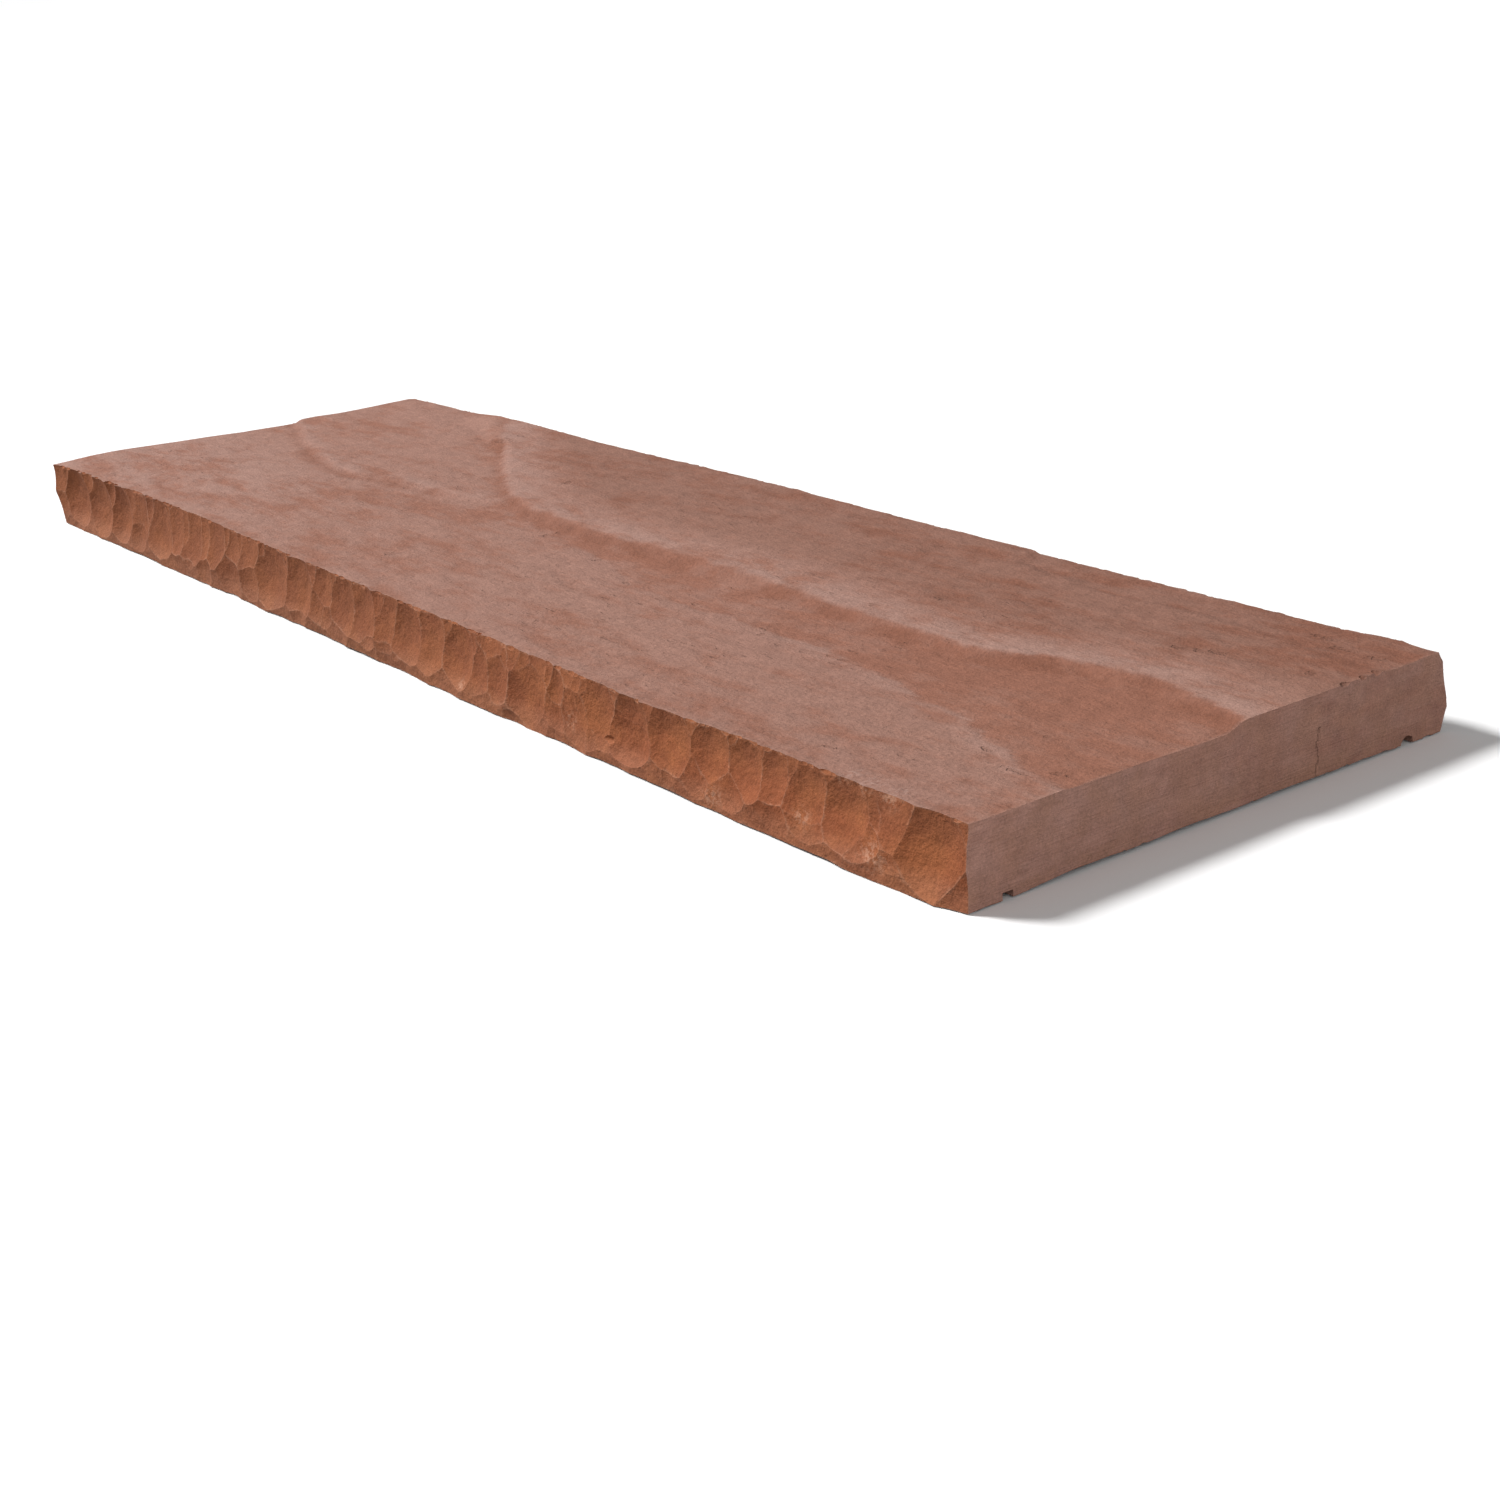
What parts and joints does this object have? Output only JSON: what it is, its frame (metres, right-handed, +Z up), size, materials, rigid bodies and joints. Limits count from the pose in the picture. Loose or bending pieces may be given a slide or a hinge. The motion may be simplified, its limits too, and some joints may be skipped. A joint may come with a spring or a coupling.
{
  "type": "coping stone",
  "caption": "Sandstone coping slab for the top of a wall: split upper face, hand-dressed long edges, sawn ends, drip grooves sawn under both overhangs.",
  "frame": {"origin": "on the flat bed face, under the middle of the slab", "axes": "+X along the wall to one sawn end, +Y across the wall to one dressed edge, +Z up out of the split top"},
  "size_m": [1, 0.3204, 0.0458],
  "materials": {
    "sandstone": "split top, dressed edges, sawn ends, all bare stone"
  },
  "bodies": {
    "root": {"coping_slab": "sandstone"}
  },
  "joints": []
}
